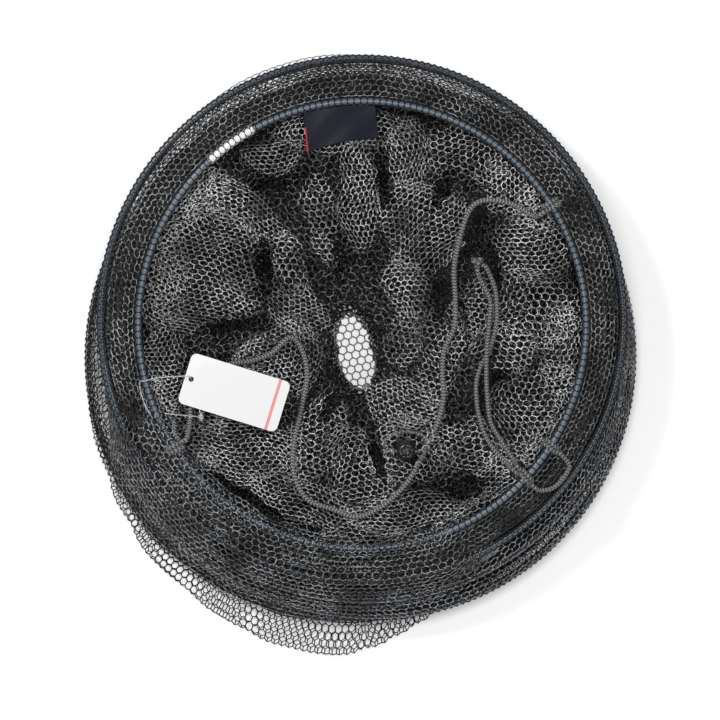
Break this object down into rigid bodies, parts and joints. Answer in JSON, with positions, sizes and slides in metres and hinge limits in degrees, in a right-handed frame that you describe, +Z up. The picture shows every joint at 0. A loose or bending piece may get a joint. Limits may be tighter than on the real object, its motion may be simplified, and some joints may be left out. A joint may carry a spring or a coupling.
{
  "type": "fishing keepnet",
  "caption": "Collapsed fishing keepnet: sheathed wire hoops stacked flat, joined by fine hexagonal netting, its closed end heaped inside, with cords, label and swing tag on the mouth hoop.",
  "frame": {"origin": "on the resting surface, under the middle of the collapsed pile, measured without its cords", "axes": "+Z up, out of the mouth; +Y towards the sewn label's side of the mouth; +X to the right seen from above"},
  "size_m": [0.3703, 0.3967, 0.0611],
  "materials": {
    "sheath": "glossy blue-black sheathing",
    "wire": "drawn spring wire",
    "sleeve": "white moulded sleeve",
    "netting": "black knotless nylon netting with a slight sheen",
    "label": "navy satin",
    "card": "white coated card",
    "clear_nylon": "clear moulded nylon",
    "cord": "grey and black braid",
    "lock_plastic": "glossy black plastic"
  },
  "bodies": {
    "bottom": {"bottom_hoop_sheath": "sheath", "bottom_hoop_wire": "wire", "bottom_hoop_sleeve": "sheath", "first_wall_net": "netting", "heap_net": "netting", "bottom_panel_net": "netting", "cord_lock_body": "lock_plastic", "cord_lock_spring": "wire", "cord_lock_loop": "cord"},
    "lower_hoop": {"lower_hoop_sheath": "sheath", "lower_hoop_wire": "wire", "lower_hoop_sleeve": "sheath", "second_wall_net": "netting"},
    "middle_hoop": {"middle_hoop_sheath": "sheath", "middle_hoop_wire": "wire", "middle_hoop_sleeve": "sheath", "third_wall_net": "netting"},
    "upper_hoop": {"upper_hoop_sheath": "sheath", "upper_hoop_wire": "wire", "upper_hoop_sleeve": "sheath", "fourth_wall_net": "netting"},
    "mouth": {"mouth_hoop_sheath": "sheath", "mouth_hoop_wire": "wire", "mouth_hoop_sleeve": "sleeve", "sewn_label": "label", "swing_tag": "card", "tag_loop": "clear_nylon", "drawcord": "cord", "drawcord_tail": "cord", "drawcord_right_hitch": "cord", "drawcord_left_hitch": "cord", "handle_cord_down": "cord", "handle_cord_up": "cord", "handle_cord_bight": "cord", "handle_cord_hitch": "cord", "handle_bight_hitch": "cord", "handle_cord_knot": "cord"},
    "lock_button": {"cord_lock_button": "lock_plastic"}
  },
  "joints": [
    {"name": "lower_hoop_rise", "type": "slide", "parent": "bottom", "child": "lower_hoop", "axis": [0, 0, 1], "range_m": [0, 0.307], "deforming": ["first_wall_net"]},
    {"name": "middle_hoop_rise", "type": "slide", "parent": "lower_hoop", "child": "middle_hoop", "axis": [0, 0, 1], "range_m": [0, 0.307], "deforming": ["second_wall_net"]},
    {"name": "upper_hoop_rise", "type": "slide", "parent": "middle_hoop", "child": "upper_hoop", "axis": [0, 0, 1], "range_m": [0, 0.307], "deforming": ["third_wall_net"]},
    {"name": "mouth_rise", "type": "slide", "parent": "upper_hoop", "child": "mouth", "axis": [0, 0, 1], "range_m": [0, 0.307], "deforming": ["fourth_wall_net"]},
    {"name": "lock_button_press", "type": "slide", "parent": "bottom", "child": "lock_button", "axis": [0, 0, -1], "range_m": [0, 0.0015], "stiffness_N_per_m": 100, "deforming": ["cord_lock_spring"]}
  ]
}
